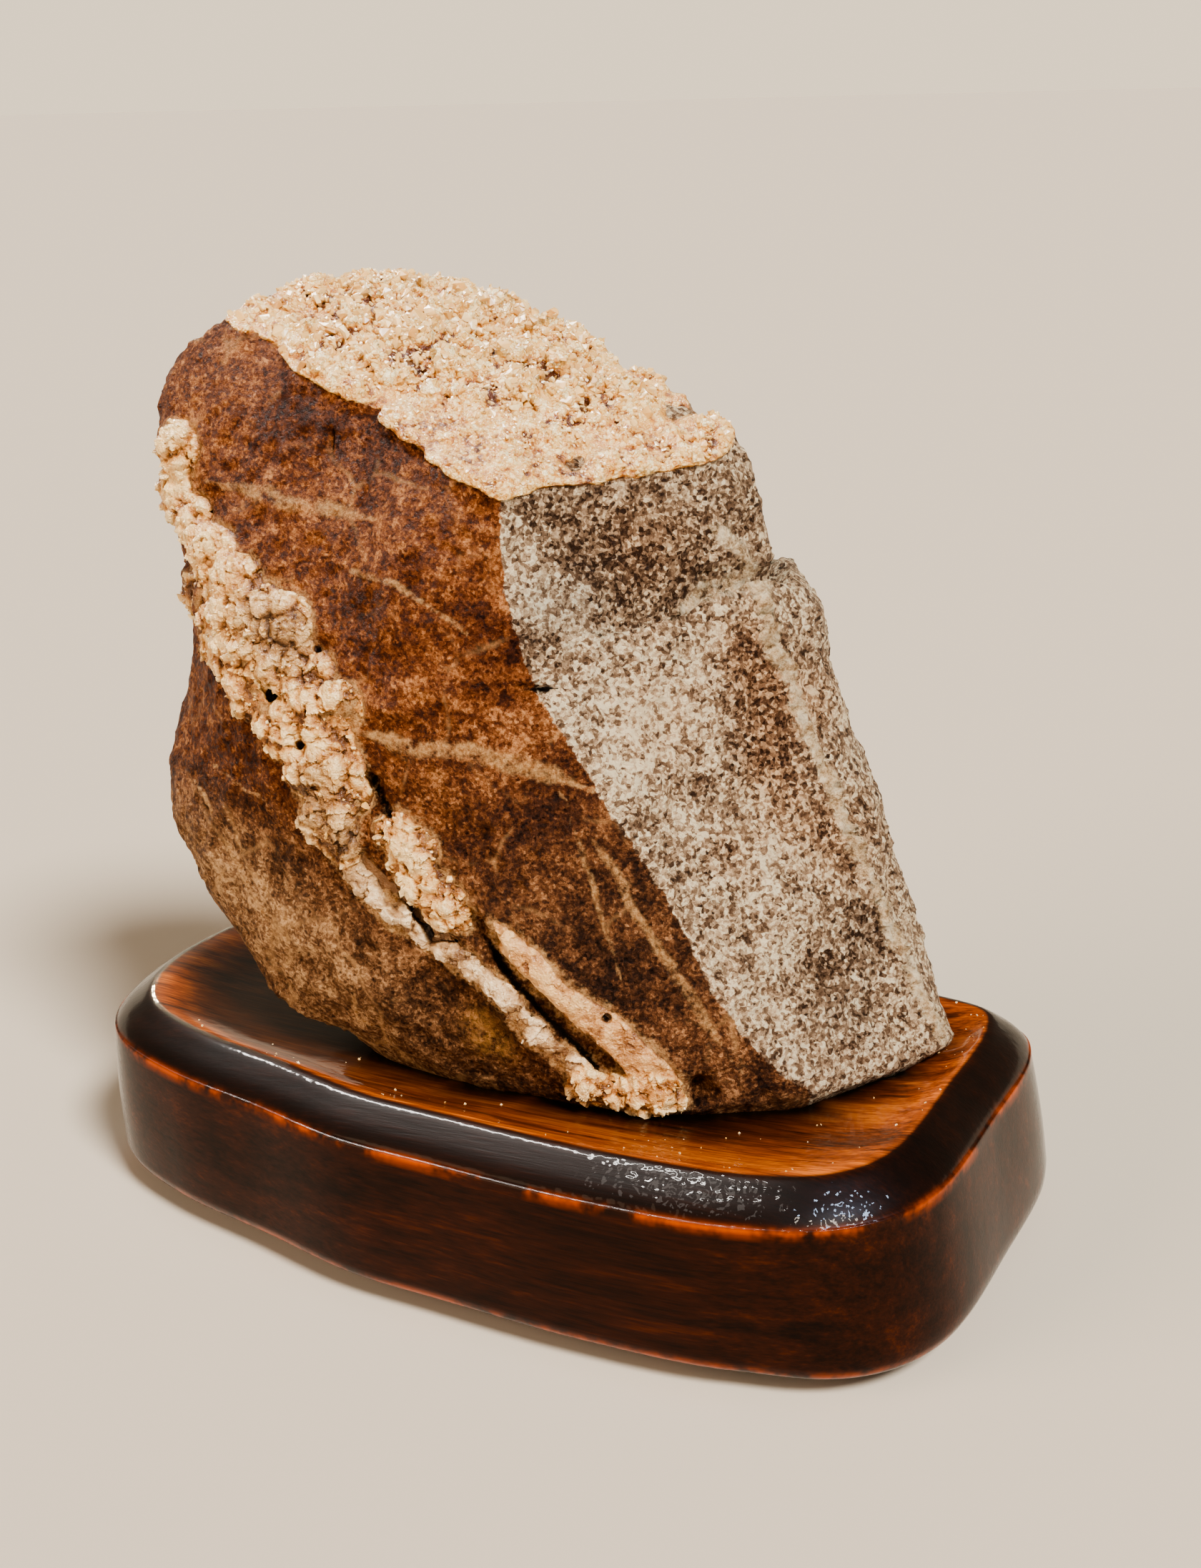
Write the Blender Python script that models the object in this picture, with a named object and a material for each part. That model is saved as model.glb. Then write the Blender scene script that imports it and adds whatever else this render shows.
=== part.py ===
"""Viewing stone resting in a carved and varnished wooden stand.

The origin is the middle of the stand's underside. X runs along the stand, Y to its back, Z up.
All named sizes are in millimetres.
"""

import math

import bpy
import numpy as np
from mathutils import Vector, noise

MM = 0.001

# Stand: heights above the surface that it stands on
FOOT_HEIGHT = 4.0
WALL_FOOT = 9.0
WALL_TOP = 30.0
CREST_HEIGHT = 37.0
CREST_INSET = 8.3
FOOT_INSET = 9.0
SEAT_FLOOR = 30.9
SEAT_GAP = 0.9
SEAT_DEPTH_SHARE = 0.45
END_FLARE = 3.5
FLARE_FROM = 60.0
FLARE_TO = 88.0
OUTLINE_POINTS = 72

# Stand: its outline at the top of the wall, seen from above
STAND_OUTLINE = (
    (-15, -45), (5, -47), (32, -49), (58, -48), (76, -41), (86, -25), (88, 5),
    (88, 30), (82, 43), (66, 48), (35, 51), (0, 53), (-38, 54), (-68, 48),
    (-84, 33), (-89, 10), (-86, -10), (-76, -24), (-58, -33), (-36, -39),
)

# Stand: from the foot to the crest, how far in from the outline and how high
STAND_PROFILE = (
    (FOOT_INSET, 0.0), (FOOT_INSET, FOOT_HEIGHT), (3.6, FOOT_HEIGHT), (1.6, 4.7), (0.4, 6.4),
    (0.0, WALL_FOOT), (-0.3, 18.0), (0.0, WALL_TOP), (0.7, 31.8), (2.4, 33.6), (4.9, 35.4),
    (7.0, 36.7), (CREST_INSET, CREST_HEIGHT),
)

# Stand: from the crest to the edge of the seat, the share of the way and the height
DISH_PROFILE = ((0.06, 36.8), (0.16, 36.1), (0.32, 35.1), (0.6, 34.2), (0.85, 33.7))

# Stone: ridge lines from just above the foot up to the crown, anticlockwise from the front
FRONT_RIDGE = (
    (60, -9, 37), (53, -14, 45), (45, -16, 56), (36, -18, 75), (27, -20, 90),
    (16, -22, 108), (10, -21, 125), (9, -20, 134), (9, -19, 138), (9, -19),
)
VEIN_RIDGE = (
    (74, 15, 37), (71, 17, 47), (66, 16, 59), (58, 15, 77), (52, 13, 92),
    (46, 13, 107), (42, 12, 123), (38, 12, 134), (36, 11, 140), (34, 11),
)
RIGHT_SIDE = (
    (75, 25, 36), (72, 26, 44), (68, 26, 57), (61, 25, 75), (56, 24, 89),
    (50, 24, 105), (46, 22, 119), (41, 20, 133), (38, 20, 141), (34, 19),
)
BACK_RIGHT = (
    (64, 33, 36), (63, 36, 45), (60, 38, 57), (54, 39, 75), (48, 40, 90),
    (42, 39, 106), (36, 36, 122), (30, 31, 136), (26, 27, 145), (20, 22),
)
BACK = (
    (28, 35, 36), (22, 38, 45), (16, 40, 56), (8, 41, 75), (2, 42, 90),
    (-2, 41, 107), (-4, 39, 124), (-5, 36, 142), (-5, 33, 154), (-3, 28),
)
BACK_LEFT = (
    (-6, 27, 36), (-20, 33, 45), (-33, 37, 56), (-43, 38, 74), (-47, 38, 90),
    (-47, 37, 107), (-45, 35, 124), (-41, 34, 146), (-36, 31, 160), (-28, 27),
)
LEFT_BACK = (
    (-26, 4, 36), (-41, 8, 44), (-53, 12, 55), (-63, 14, 73), (-66, 16, 88),
    (-65, 17, 105), (-63, 17, 122), (-62, 16, 146), (-57, 15, 160), (-45, 12),
)
LEFT_SIDE = (
    (-29, -15, 36), (-42, -17, 41), (-55, -14, 53), (-66, -12, 71), (-69, -9, 84),
    (-66, -5, 102), (-65, -3, 119), (-68, -5, 146), (-63, -4, 159), (-50, -4),
)
LEFT_FRONT = (
    (-10, -22, 37), (-17, -24, 43), (-25, -26, 52), (-31, -25, 69), (-38, -25, 86),
    (-42, -23, 104), (-45, -20, 122), (-46, -16, 141), (-44, -12, 153), (-34, -9),
)
MIDDLE_FRONT = (
    (13, -22, 35), (7, -25, 44), (0, -26, 54), (-6, -26, 71), (-14, -26, 87),
    (-20, -25, 105), (-25, -22, 122), (-24, -17, 138), (-22, -14, 147), (-19, -12),
)
RIGHT_FRONT = (
    (36, -21, 36), (30, -24, 46), (22, -26, 57), (15, -26, 74), (6, -27, 90),
    (-1, -26, 107), (-6, -24, 124), (-4, -21, 136), (-2, -19, 141), (-1, -18),
)
RIDGES = (
    FRONT_RIDGE, VEIN_RIDGE, RIGHT_SIDE, BACK_RIGHT, BACK, BACK_LEFT,
    LEFT_BACK, LEFT_SIDE, LEFT_FRONT, MIDDLE_FRONT, RIGHT_FRONT,
)
CORNERS = (0, 1, 3, 5)

# Stone: the slanting crown, the foot and the steps of the loft
CROWN_POINT = (9.0, -19.0, 141.0)
CROWN_NORMAL = (0.297, -0.347, 0.889)
CROWN_DOME = 1.5
CRUST_SINK = 1.5
FOOT_CENTRE = (20.0, 5.0)
FOOT_SHARE = 0.87
STONE_FOOT = 31.3
LOFT_ROWS = 60
LOFT_STEPS = 9
VOXEL = 1.3
STONE_TRIANGLES = 6800

# Marks on the stone are placed on its sight plane: how far right, and how high, seen from
# the show side, which is turned this far from the front
SIGHT = math.radians(25)

# Stone: the ledge of the grey side, the groove over it and the raised vein beside it
LEDGE = ((4, 117), (17, 116), (25, 117), (33, 119), (37, 120.5), (45, 120.5), (52, 120))
LEDGE_DEPTH = ((4, 0), (17, 0.5), (29, 1.6), (36, 3), (44, 4.2), (56, 4.6))
GREY_VEIN = ((43, 118), (48, 105), (53, 91), (60, 74), (68, 55), (75, 39))

# Stone: crystal lumps, each with its place and radius
VEIN_LUMPS = (
    (-48, 123, 5), (-53, 117, 5), (-48, 116, 6), (-53, 111, 5), (-46, 112, 6), (-50, 108, 4),
    (-42, 110, 5), (-47, 103, 5), (-37, 107, 5), (-41, 99, 5.5), (-35, 102, 6), (-37, 98, 4),
    (-30, 104, 4.5), (-32, 99, 4), (-44, 119, 5), (-39, 117, 5.5), (-39, 112, 5),
    (-34, 109, 3.5), (-35, 93, 5.5), (-30, 93, 4.5), (-37, 90, 4), (-32, 89, 4.5),
    (-29, 88, 4), (-33, 82, 5.5), (-31, 78, 3.5), (-21, 82, 4), (-18, 80, 4.5),
    (-19, 76, 3.5), (-15, 72, 4.5), (-13, 70, 4.5), (-11, 68, 3), (-17, 73, 3),
)
EDGE_LUMPS = ((-60, 144, 5), (-61, 135, 5), (-57, 132, 4.5), (-53, 127, 5.5), (-58, 117, 4.5))
FOOT_LUMPS = ((11, 38, 4.5), (16, 37.5, 4.5), (21, 37.5, 5), (25, 38, 4))
LUMP_RISE = 0.5
GRAIN_REACH = 0.75

# Stone: the lower veins, the step at the lower left, and what is cut in
STRIP_VEIN = ((-29, 74), (-23, 68), (-17, 65), (-9, 59), (-3, 55), (1, 49), (7, 44), (12, 41))
STRIP_WIDTH = 2.8
SLAB_VEIN = (
    (-6, 69), (2, 65), (10, 58), (14, 54), (21, 50), (25, 45), (21, 40), (17, 43),
    (9, 51), (3, 58), (-3, 61),
)
SLAB_RISE = 1.0
LOWER_STEP = (
    (-48, 55), (-36, 56), (-30, 58), (-28, 61), (-21, 61), (-14, 58), (-5, 51), (3, 42),
    (2, 34), (-30, 34), (-52, 48),
)
STEP_DROP = 0.9
CLEFT = ((-8, 68), (-4, 65), (-2, 60), (3, 55.5), (9, 49.5), (13, 45), (17, 41))
SMALL_CLEFT = ((-27, 76), (-23, 72), (-19, 70), (-16, 66), (-15, 63), (-11, 63))
CRACK = ((-26, 92), (-24, 90), (-22, 86), (-21, 84))
RIDGE_NICK = ((-1, 109), (5, 108), (8, 108))
GROOVES = ((CLEFT, 2.6, 3.0), (SMALL_CLEFT, 1.7, 1.6), (CRACK, 1.7, 2.0), (RIDGE_NICK, 1.4, 1.2))
PITS = ((-42, 104.5, 2.4, 4.0), (15, 53, 1.8, 1.8), (-36, 96.5, 3.0, 2.0), (30, 38, 4.5, 3.0))

# Finishes
STONE_COLOUR = (0.33, 0.22, 0.14)
STONE_ROUGHNESS = 0.85
WOOD_COLOUR = (0.14, 0.045, 0.012)
WOOD_ROUGHNESS = 0.2


def clear_scene():
    for obj in list(bpy.data.objects):
        bpy.data.objects.remove(obj, do_unlink=True)


def curve_through(points, count):
    """Count points, evenly by index, on a Catmull-Rom curve through these points."""
    points = np.asarray(points, float)
    first = 2 * points[0] - points[1]
    last = 2 * points[-1] - points[-2]
    padded = np.vstack([first, points, last])
    place = np.linspace(0, len(points) - 1, count)
    index = np.minimum(place.astype(int), len(points) - 2)
    t = (place - index)[:, None]
    a, b, c, d = (padded[index + k] for k in range(4))
    return 0.5 * (
        2 * b
        + (c - a) * t
        + (2 * a - 5 * b + 4 * c - d) * t**2
        + (3 * b - a - 3 * c + d) * t**3
    )


def closed_curve(points, count):
    """Count points at even spacing on a smooth closed curve through these points."""
    points = np.asarray(points, float)
    wrapped = np.vstack([points[-3:], points, points[:4]])
    fine = curve_through(wrapped, 40 * (len(wrapped) - 1) + 1)[120:-120]
    steps = np.linalg.norm(np.diff(fine, axis=0), axis=1)
    along = np.concatenate([[0], np.cumsum(steps)])
    wanted = np.linspace(0, along[-1], count, endpoint=False)
    return np.stack([np.interp(wanted, along, fine[:, k]) for k in range(2)], axis=1)


def crown_height(x, y):
    """Height of the crown's plane over a place."""
    px, py, pz = CROWN_POINT
    nx, ny, nz = CROWN_NORMAL
    return pz - ((x - px) * nx + (y - py) * ny) / nz


def full_ridge(ridge):
    """The ridge with the height of its top point, which lies on the crown's plane."""
    x, y = ridge[-1]
    return np.array(ridge[:-1] + ((x, y, crown_height(x, y)),), float)


def ring_through(points):
    """A closed ring through one point of each ridge: straight turns at the corners, smooth between."""
    count = len(points)
    ring = []
    for start, end in zip(CORNERS, CORNERS[1:] + (CORNERS[0] + count,)):
        span = [points[k % count] for k in range(start, end + 1)]
        ring.append(curve_through(span, LOFT_STEPS * (end - start) + 1)[:-1])
    return np.vstack(ring)


def stone_rings():
    """Rings of the stone's side from the foot to the crown."""
    lines = [curve_through(full_ridge(ridge), LOFT_ROWS) for ridge in RIDGES]
    side = [ring_through([line[row] for line in lines]) for row in range(LOFT_ROWS)]
    foot = side[0].copy()
    foot[:, :2] = FOOT_CENTRE + FOOT_SHARE * (foot[:, :2] - FOOT_CENTRE)
    foot[:, 2] = STONE_FOOT
    return [foot] + side


def mesh_from_rings(name, rings, bottom, top):
    """A closed body from rings of equally many points, bottom to top, with a point closing each end."""
    count = len(rings[0])
    points = np.vstack(rings + [bottom, top])
    faces = []
    for level in range(len(rings) - 1):
        low = level * count
        high = low + count
        for k in range(count):
            after = (k + 1) % count
            faces.append((low + k, low + after, high + after, high + k))
    under = len(rings) * count
    last = (len(rings) - 1) * count
    for k in range(count):
        after = (k + 1) % count
        faces.append((after, k, under))
        faces.append((last + k, last + after, under + 1))
    mesh = bpy.data.meshes.new(name)
    mesh.from_pydata([tuple(point * MM) for point in points], [], faces)
    mesh.validate()
    return mesh


def ramp(value, low, high):
    """0 below low, 1 above high, smooth between."""
    t = np.clip((value - low) / (high - low), 0, 1)
    return t * t * (3 - 2 * t)


def sight_plane(points):
    """Places as seen from the stone's show side: how far right, and how high."""
    right = points[:, 0] * math.cos(SIGHT) + points[:, 1] * math.sin(SIGHT)
    return np.stack([right, points[:, 2]], axis=1)


class Surface:
    """The stone's points and normals, with the places of its marks on them."""

    def __init__(self, points, normals):
        self.points = points
        self.normals = normals
        self.seen = sight_plane(points)
        sight = np.array([math.sin(SIGHT), -math.cos(SIGHT), 0.0])
        self.show_side = normals @ sight > 0.05

    def lift(self, places):
        """The stone's points nearest to these places of the sight plane."""
        pick = np.flatnonzero(self.show_side)
        seen = self.seen[pick]
        return np.array([
            self.points[pick[np.argmin(((seen - place) ** 2).sum(axis=1))]] for place in places
        ])

    def distance_to_line(self, places):
        """Distance of every point from a line drawn through these places."""
        line = self.lift(places)
        nearest = np.full(len(self.points), 1e9)
        for start, end in zip(line[:-1], line[1:]):
            run = end - start
            share = np.clip(((self.points - start) @ run) / (run @ run), 0, 1)
            gap = np.linalg.norm(self.points - start - share[:, None] * run, axis=1)
            nearest = np.minimum(nearest, gap)
        return nearest

    def bumps(self, lumps):
        """Height of round lumps, each given by its place and its radius."""
        height = np.zeros(len(self.points))
        centres = self.lift([lump[:2] for lump in lumps])
        for centre, (_, _, radius) in zip(centres, lumps):
            share = np.linalg.norm(self.points - centre, axis=1) / radius
            height = np.maximum(height, LUMP_RISE * radius * np.sqrt(np.clip(1 - share**2, 0, 1)))
        return height

    def plate(self, corners, edge):
        """1 inside a flat shape drawn by its corners, falling to 0 across its edge."""
        corners = np.array(corners, float)
        x, z = self.seen.T
        inside = np.zeros(len(x), bool)
        nearest = np.full(len(x), 1e9)
        for (ax, az), (bx, bz) in zip(corners, np.roll(corners, -1, axis=0)):
            crosses = (az > z) != (bz > z)
            rise = bz - az if bz != az else 1e-9
            inside ^= crosses & (x < (bx - ax) * (z - az) / rise + ax)
            run = np.array([bx - ax, bz - az])
            share = np.clip(((x - ax) * run[0] + (z - az) * run[1]) / (run @ run), 0, 1)
            nearest = np.minimum(nearest, np.hypot(x - ax - share * run[0], z - az - share * run[1]))
        return ramp(np.where(inside, nearest, -nearest), -edge, edge) * self.show_side


def cloud(points, size, seed):
    """Smooth noise from -1 to 1, with humps of this size."""
    return np.array([noise.noise(Vector(point / size) + Vector((seed, 0, 0))) for point in points])


def grains(points, size, seed):
    """Round grains packed side by side: 1 at the middle of each, 0 between them."""
    nearest = np.array([
        noise.voronoi(Vector(point / size) + Vector((0, seed, 0)))[0][0] for point in points
    ])
    return np.sqrt(np.clip(1 - (nearest / GRAIN_REACH) ** 2, 0, 1))


def above_crown(points):
    return (points - CROWN_POINT) @ np.array(CROWN_NORMAL)


def crust_share(surface):
    """1 on the crystal crust over the crown, fading out along its frayed edge."""
    level = above_crown(surface.points) + 1.2 * cloud(surface.points, 5.0, 31)
    return ramp(level, -3.2, -0.8) * ramp(surface.normals @ np.array(CROWN_NORMAL), 0.1, 0.5)


def ledge_depth(surface):
    """The groove over the ledge of the grey side: deepest at its right end."""
    right, height = surface.seen.T
    places = np.array(LEDGE, float)
    over = height - np.interp(right, places[:, 0], places[:, 1])
    depth = np.interp(right, *zip(*LEDGE_DEPTH))
    shape = np.interp(over, (-6, -1.5, 0, 4, 14), (0, 0.35, 1, 0.4, 0))
    side = ramp(surface.normals[:, 0], 0.25, 0.5)
    return depth * shape * side


def relief(surface):
    """How far each point of the stone stands out, or in, along its normal."""
    points = surface.points
    out = 1.3 * cloud(points, 26.0, 3) + 0.6 * cloud(points, 9.0, 7)
    crust = crust_share(surface)
    out += crust * (2.2 * grains(points, 8.0, 11) + 1.1 * grains(points, 4.0, 12) - CRUST_SINK)
    out -= ledge_depth(surface)
    out += 0.5 * ramp(-surface.distance_to_line(GREY_VEIN), -2.5, -0.5)
    lumps = surface.bumps(VEIN_LUMPS + EDGE_LUMPS + FOOT_LUMPS)
    out += lumps
    strip = ramp(-surface.distance_to_line(STRIP_VEIN), -STRIP_WIDTH, 0)
    out += strip * (0.8 + 0.9 * grains(points, 4.5, 14))
    out += SLAB_RISE * surface.plate(SLAB_VEIN, 0.7)
    out -= STEP_DROP * surface.plate(LOWER_STEP, 1.2)
    for line, width, depth in GROOVES:
        out -= depth * ramp(-surface.distance_to_line(line), -width, 0)
    for right, height, radius, depth in PITS:
        gap = np.linalg.norm(points - surface.lift([(right, height)])[0], axis=1)
        out -= depth * ramp(-gap, -radius, -0.3 * radius)
    return out * ramp(points[:, 2], STONE_FOOT + 2, STONE_FOOT + 6)


def linked(name, mesh):
    obj = bpy.data.objects.new(name, mesh)
    bpy.context.collection.objects.link(obj)
    return obj


def settled(obj):
    """The object's mesh with its modifiers carried out."""
    graph = bpy.context.evaluated_depsgraph_get()
    mesh = bpy.data.meshes.new_from_object(obj.evaluated_get(graph))
    obj.modifiers.clear()
    obj.data = mesh
    return mesh


def even_out(obj):
    """An even fine mesh with its sharp edges slightly rounded."""
    remesh = obj.modifiers.new("Even mesh", "REMESH")
    remesh.mode = "VOXEL"
    remesh.voxel_size = VOXEL * MM
    smooth = obj.modifiers.new("Round edges", "SMOOTH")
    smooth.factor = 0.5
    smooth.iterations = 4
    return settled(obj)


def add_relief(mesh):
    count = len(mesh.vertices)
    points = np.empty(count * 3)
    normals = np.empty(count * 3)
    mesh.vertices.foreach_get("co", points)
    mesh.vertex_normals.foreach_get("vector", normals)
    points = points.reshape(-1, 3) / MM
    normals = normals.reshape(-1, 3)
    out = relief(Surface(points, normals))
    mesh.vertices.foreach_set("co", ((points + out[:, None] * normals) * MM).ravel())
    mesh.update()


def thin_out(obj, triangles):
    """Fewer faces, kept where the shape needs them."""
    obj.data.calc_loop_triangles()
    thin = obj.modifiers.new("Fewer faces", "DECIMATE")
    thin.ratio = triangles / len(obj.data.loop_triangles)
    thin.use_collapse_triangulate = True


def material(name, colour, roughness):
    made = bpy.data.materials.new(name)
    made.use_nodes = True
    shader = made.node_tree.nodes["Principled BSDF"]
    shader.inputs["Base Color"].default_value = colour + (1.0,)
    shader.inputs["Roughness"].default_value = roughness
    shader.inputs["Metallic"].default_value = 0.0
    return made


def build_stone():
    rings = stone_rings()
    crown = rings[-1]
    centre = crown.mean(axis=0)
    for share in (0.75, 0.5, 0.25):
        inner = centre + share * (crown - centre)
        inner[:, 2] += CROWN_DOME * (1 - share**2)
        rings.append(inner)
    bottom = np.array(FOOT_CENTRE + (STONE_FOOT,))
    top = centre + (0, 0, CROWN_DOME)
    stone = linked("stone", mesh_from_rings("stone", rings, bottom, top))
    add_relief(even_out(stone))
    thin_out(stone, STONE_TRIANGLES)
    stone.data.materials.append(material("Brown and grey rock", STONE_COLOUR, STONE_ROUGHNESS))
    return stone


def outward(ring):
    """Unit vectors pointing out of a closed ring that runs anticlockwise."""
    run = np.roll(ring, -1, axis=0) - np.roll(ring, 1, axis=0)
    normal = np.stack([run[:, 1], -run[:, 0]], axis=1)
    return normal / np.linalg.norm(normal, axis=1)[:, None]


def seat_ring(share, like):
    """The seat's edge this share of the way up the stone's foot, point by point beside another ring."""
    foot, side = stone_rings()[:2]
    edge = foot + share * (side - foot)
    arm = edge[:, :2] - FOOT_CENTRE
    angle = np.arctan2(arm[:, 1], arm[:, 0])
    order = np.argsort(angle)
    wanted = like[:, :2] - FOOT_CENTRE
    turn = np.arctan2(wanted[:, 1], wanted[:, 0])
    reach = np.hypot(arm[:, 0], arm[:, 1]) + SEAT_GAP
    far = np.interp(turn, angle[order], reach[order], period=2 * math.pi)
    height = np.interp(turn, angle[order], edge[order, 2], period=2 * math.pi)
    place = FOOT_CENTRE + far[:, None] * np.stack([np.cos(turn), np.sin(turn)], axis=1)
    return np.column_stack([place, height])


def stand_rings():
    outline = closed_curve(STAND_OUTLINE, OUTLINE_POINTS)
    out = outward(outline)
    rings = []
    for inset, height in STAND_PROFILE:
        low = np.clip((WALL_TOP - height) / (WALL_TOP - WALL_FOOT), 0, 1)
        flare = END_FLARE * low * ramp(outline[:, 0], FLARE_FROM, FLARE_TO)
        reach = flare * (inset < FOOT_INSET) - inset
        place = outline + reach[:, None] * out
        rings.append(np.column_stack([place, np.full(OUTLINE_POINTS, height)]))
    crest = rings[-1]
    edge = seat_ring(SEAT_DEPTH_SHARE, crest)
    for share, height in DISH_PROFILE:
        ring = crest + share * (edge - crest)
        ring[:, 2] = height
        rings.append(ring)
    floor = seat_ring(0, crest)
    floor[:, 2] = SEAT_FLOOR
    return rings + [edge, floor]


def build_stand():
    bottom = np.array((0.0, 0.0, 0.0))
    top = np.array(FOOT_CENTRE + (SEAT_FLOOR,))
    stand = linked("stand", mesh_from_rings("stand", stand_rings(), bottom, top))
    stand.data.shade_smooth()
    stand.data.set_sharp_from_angle(angle=math.radians(40))
    stand.data.materials.append(material("Varnished wood", WOOD_COLOUR, WOOD_ROUGHNESS))
    return stand


def main():
    clear_scene()
    build_stone()
    build_stand()


main()
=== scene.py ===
"""The finished look of the viewing stone: its rock, crystals and varnished stand.

Named sizes and places are in millimetres. The part's frame is kept: X along the stand, Y to its
back, Z up, from the middle of its underside. Marks on the stone are placed on its sight plane:
how far right, and how high, seen from the show side.
"""

import math
from itertools import product

import bmesh
import bpy
import numpy as np
from mathutils import Euler, Matrix, Vector


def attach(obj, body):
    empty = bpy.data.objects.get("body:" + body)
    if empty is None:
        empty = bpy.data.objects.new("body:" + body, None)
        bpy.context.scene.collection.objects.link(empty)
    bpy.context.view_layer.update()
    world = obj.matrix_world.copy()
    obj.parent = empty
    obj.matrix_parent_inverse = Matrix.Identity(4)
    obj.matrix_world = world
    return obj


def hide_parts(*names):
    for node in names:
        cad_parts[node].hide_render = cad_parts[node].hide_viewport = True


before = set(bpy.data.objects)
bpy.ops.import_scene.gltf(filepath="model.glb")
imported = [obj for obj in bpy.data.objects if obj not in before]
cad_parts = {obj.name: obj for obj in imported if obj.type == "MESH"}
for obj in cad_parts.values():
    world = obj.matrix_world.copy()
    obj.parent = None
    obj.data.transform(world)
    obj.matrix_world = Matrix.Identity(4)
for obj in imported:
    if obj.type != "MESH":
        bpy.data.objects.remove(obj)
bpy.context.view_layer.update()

MM = 0.001
SIGHT = math.radians(25)

# Camera, lights and floor
CAMERA_PLACE = (168.9, -327.1, 203.1)
CAMERA_TURN = math.radians(25)
CAMERA_PITCH = math.radians(18)
CAMERA_ROLL = math.radians(1.5)
LENS = 49.23
FLOOR_SIZE = 60000.0
FLOOR_COLOUR = (224, 220, 214)
SKY_COLOUR = (229, 212, 186)
HORIZON_STRENGTH = 1.42
SKY_STRENGTH = 0.2
SKY_CLEAR_RISE = 0.14
SKY_FULL_RISE = 0.22
CONTRAST = "AgX - Medium High Contrast"

# Each sun's turn, rise, strength, spread and colour
SUNS = (
    ("Sun", math.radians(-36), math.radians(46), 4.6, math.radians(14), (255, 242, 224)),
    ("Fill", math.radians(-128), math.radians(20), 1.9, math.radians(40), (255, 220, 184)),
)
# Each box's place, aim, size, power and colour
SOFT_BOXES = (
    ("Window", (450, -120, 650), (72, -40, 34), (150, 120), 8.5, (204, 226, 255)),
    ("Crest light", (-250, 20, 590), (20, -45, 37), (44, 480), 12.5, (255, 250, 244)),
    ("Lamp", (-588, 537, 353), (-80, 5, 36), (40, 40), 1.8, (255, 236, 200)),
    ("Shoulder light", (-100, -200, 640), (40, -45, 34), (150, 150), 0.8, (255, 246, 236)),
)

# Rock: its fine mesh, the plane of its crown and the ridge between its sides
ROCK_VOXEL = 0.87
CROWN_POINT = (9.0, -19.0, 141.0)
CROWN_NORMAL = (0.297, -0.347, 0.889)
CRUST_REACH = 0.9
GREY_FACING = (0.83, -0.55, 0.0)
BROWN_FACING = (-0.06, -1.0, 0.0)
FRONT_RIDGE = ((51, 37), (42, 45), (34, 56), (25, 75), (16, 90), (5, 108), (0, 125), (0, 140))

# Rock: crystal lumps, each with its place and radius
VEIN_LUMPS = (
    (-48, 123, 5), (-53, 117, 5), (-48, 116, 6), (-53, 111, 5), (-46, 112, 6), (-50, 108, 4),
    (-42, 110, 5), (-47, 103, 5), (-37, 107, 5), (-41, 99, 5.5), (-35, 102, 6), (-37, 98, 4),
    (-30, 104, 4.5), (-32, 99, 4), (-44, 119, 5), (-39, 117, 5.5), (-39, 112, 5),
    (-34, 109, 3.5), (-35, 93, 5.5), (-30, 93, 4.5), (-37, 90, 4), (-32, 89, 4.5),
    (-29, 88, 4), (-33, 82, 5.5), (-31, 78, 3.5), (-21, 82, 4), (-18, 80, 4.5),
    (-19, 76, 3.5), (-15, 72, 4.5), (-13, 70, 4.5), (-11, 68, 3), (-17, 73, 3),
    (-60, 144, 5), (-61, 135, 5), (-57, 132, 4.5), (-53, 127, 5.5), (-58, 117, 4.5),
    (11, 38, 4.5), (16, 37.5, 4.5), (21, 37.5, 5), (25, 38, 4),
)

# Rock: veins, steps and hollows
STRIP_VEIN = ((-29, 74), (-23, 68), (-17, 65), (-9, 59), (-3, 55), (1, 49), (7, 44), (12, 41))
SLAB_VEIN = (
    (-5, 69.5), (-1, 67.5), (4.5, 64), (8, 59.5), (14, 55.5), (19, 51.5), (23.5, 47), (28, 41), (22, 38.5),
    (18.7, 40), (15.7, 44.3), (12, 48.3), (7.3, 51.4), (3.4, 55), (-0.2, 58.7), (-3.5, 62),
)
SEAM_VEIN = (
    (43, 118), (45, 109), (48, 105), (50, 99), (53, 91), (56, 84), (60, 74), (64, 65), (68, 55), (75, 39),
)
CLEFT = ((-8, 68), (-4.6, 64), (-2.6, 59.5), (2.2, 54.6), (8, 48.6), (12, 44.3), (16, 40.3))
SMALL_CLEFT = ((-27, 76), (-23, 72), (-19, 70), (-16, 66), (-15, 63), (-11, 63))
# Clefts and cracks, each with its line and width: sunk into the rock and painted near-black as painted
# shade. The pits below get the same painted shade.
SHADED_LINES = (
    (CLEFT, 0.9), (SMALL_CLEFT, 0.8), (((-26, 92), (-24, 90), (-22, 86), (-21, 84)), 0.9),
    (((-1, 109), (5, 108), (8, 108)), 0.6), (((-30, 144), (-30, 148), (-29, 150)), 0.35),
)
PITS = ((-42, 104, 1.3), (15, 53, 0.9), (-37, 96, 1.0), (-33, 113, 0.8))
LEDGE = ((2, 117), (17, 116), (22, 116), (29, 117), (33, 119), (41, 120), (46, 119))
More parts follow.
